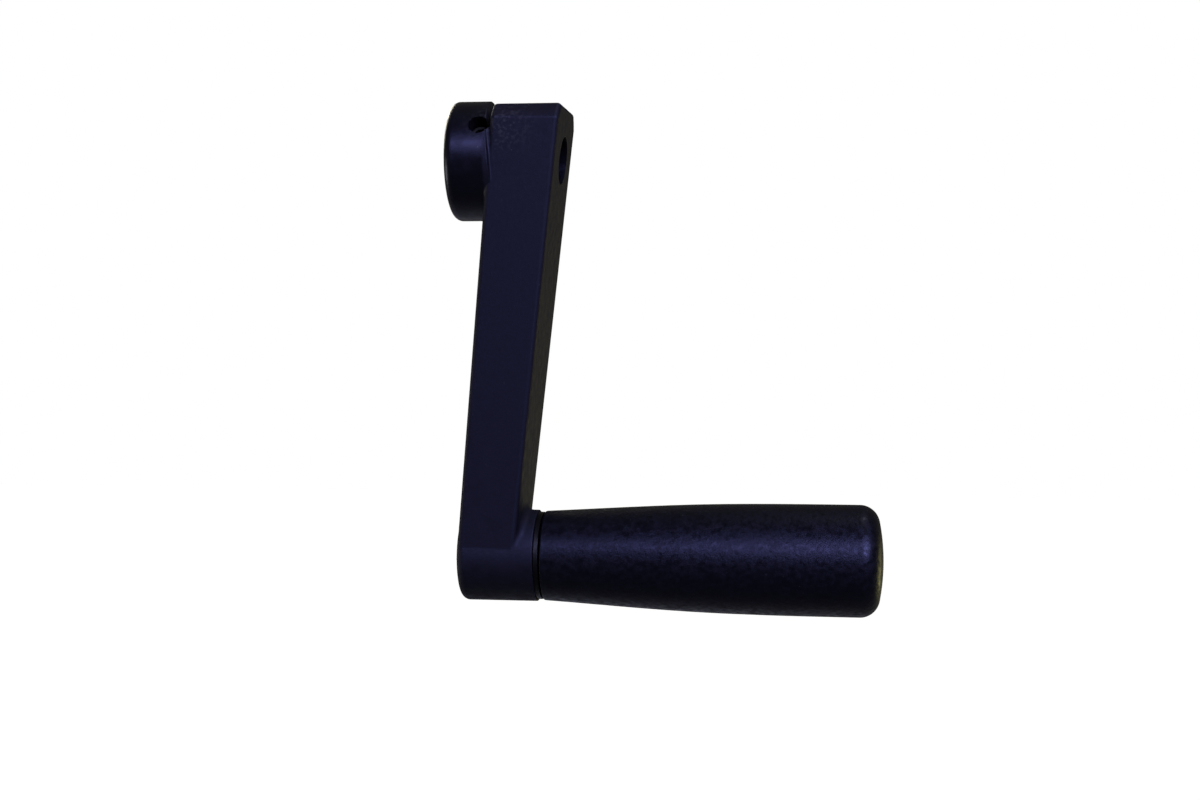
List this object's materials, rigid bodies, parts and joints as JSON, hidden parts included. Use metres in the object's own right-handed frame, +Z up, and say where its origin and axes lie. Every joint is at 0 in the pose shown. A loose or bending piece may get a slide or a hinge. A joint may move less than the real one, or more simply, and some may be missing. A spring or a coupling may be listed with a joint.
{
  "type": "crank handle",
  "caption": "Offset crank handle: round hub with a bore clamped by a grub screw, tapered leaning arm, and a barrel grip that turns freely on a steel spindle.",
  "frame": {"origin": "on the axis of the hub's bore, at the hub's back face", "axes": "+X along the bore, from the shaft towards the grip; +Z up, so that the arm hangs from the hub along -Z; +Y across the arm"},
  "size_m": [0.1084, 0.03, 0.129],
  "materials": {
    "arm_plastic": "fine spark-eroded texture, matte, blue-black",
    "grip_plastic": "fine spark-eroded texture, satin, blue-black",
    "spindle_steel": "turned, black oxide",
    "screw_steel": "black oxide",
    "spring_steel": "drawn wire"
  },
  "bodies": {
    "crank": {"crank_arm": "arm_plastic", "set_screw": "screw_steel", "spindle": "spindle_steel", "retaining_ring": "spring_steel"},
    "handle": {"grip": "grip_plastic"}
  },
  "joints": [
    {"name": "grip_spin", "type": "hinge", "parent": "crank", "child": "handle", "pos_m": [0.066, 0, -0.1], "axis": [1, 0, 0], "continuous": true}
  ]
}
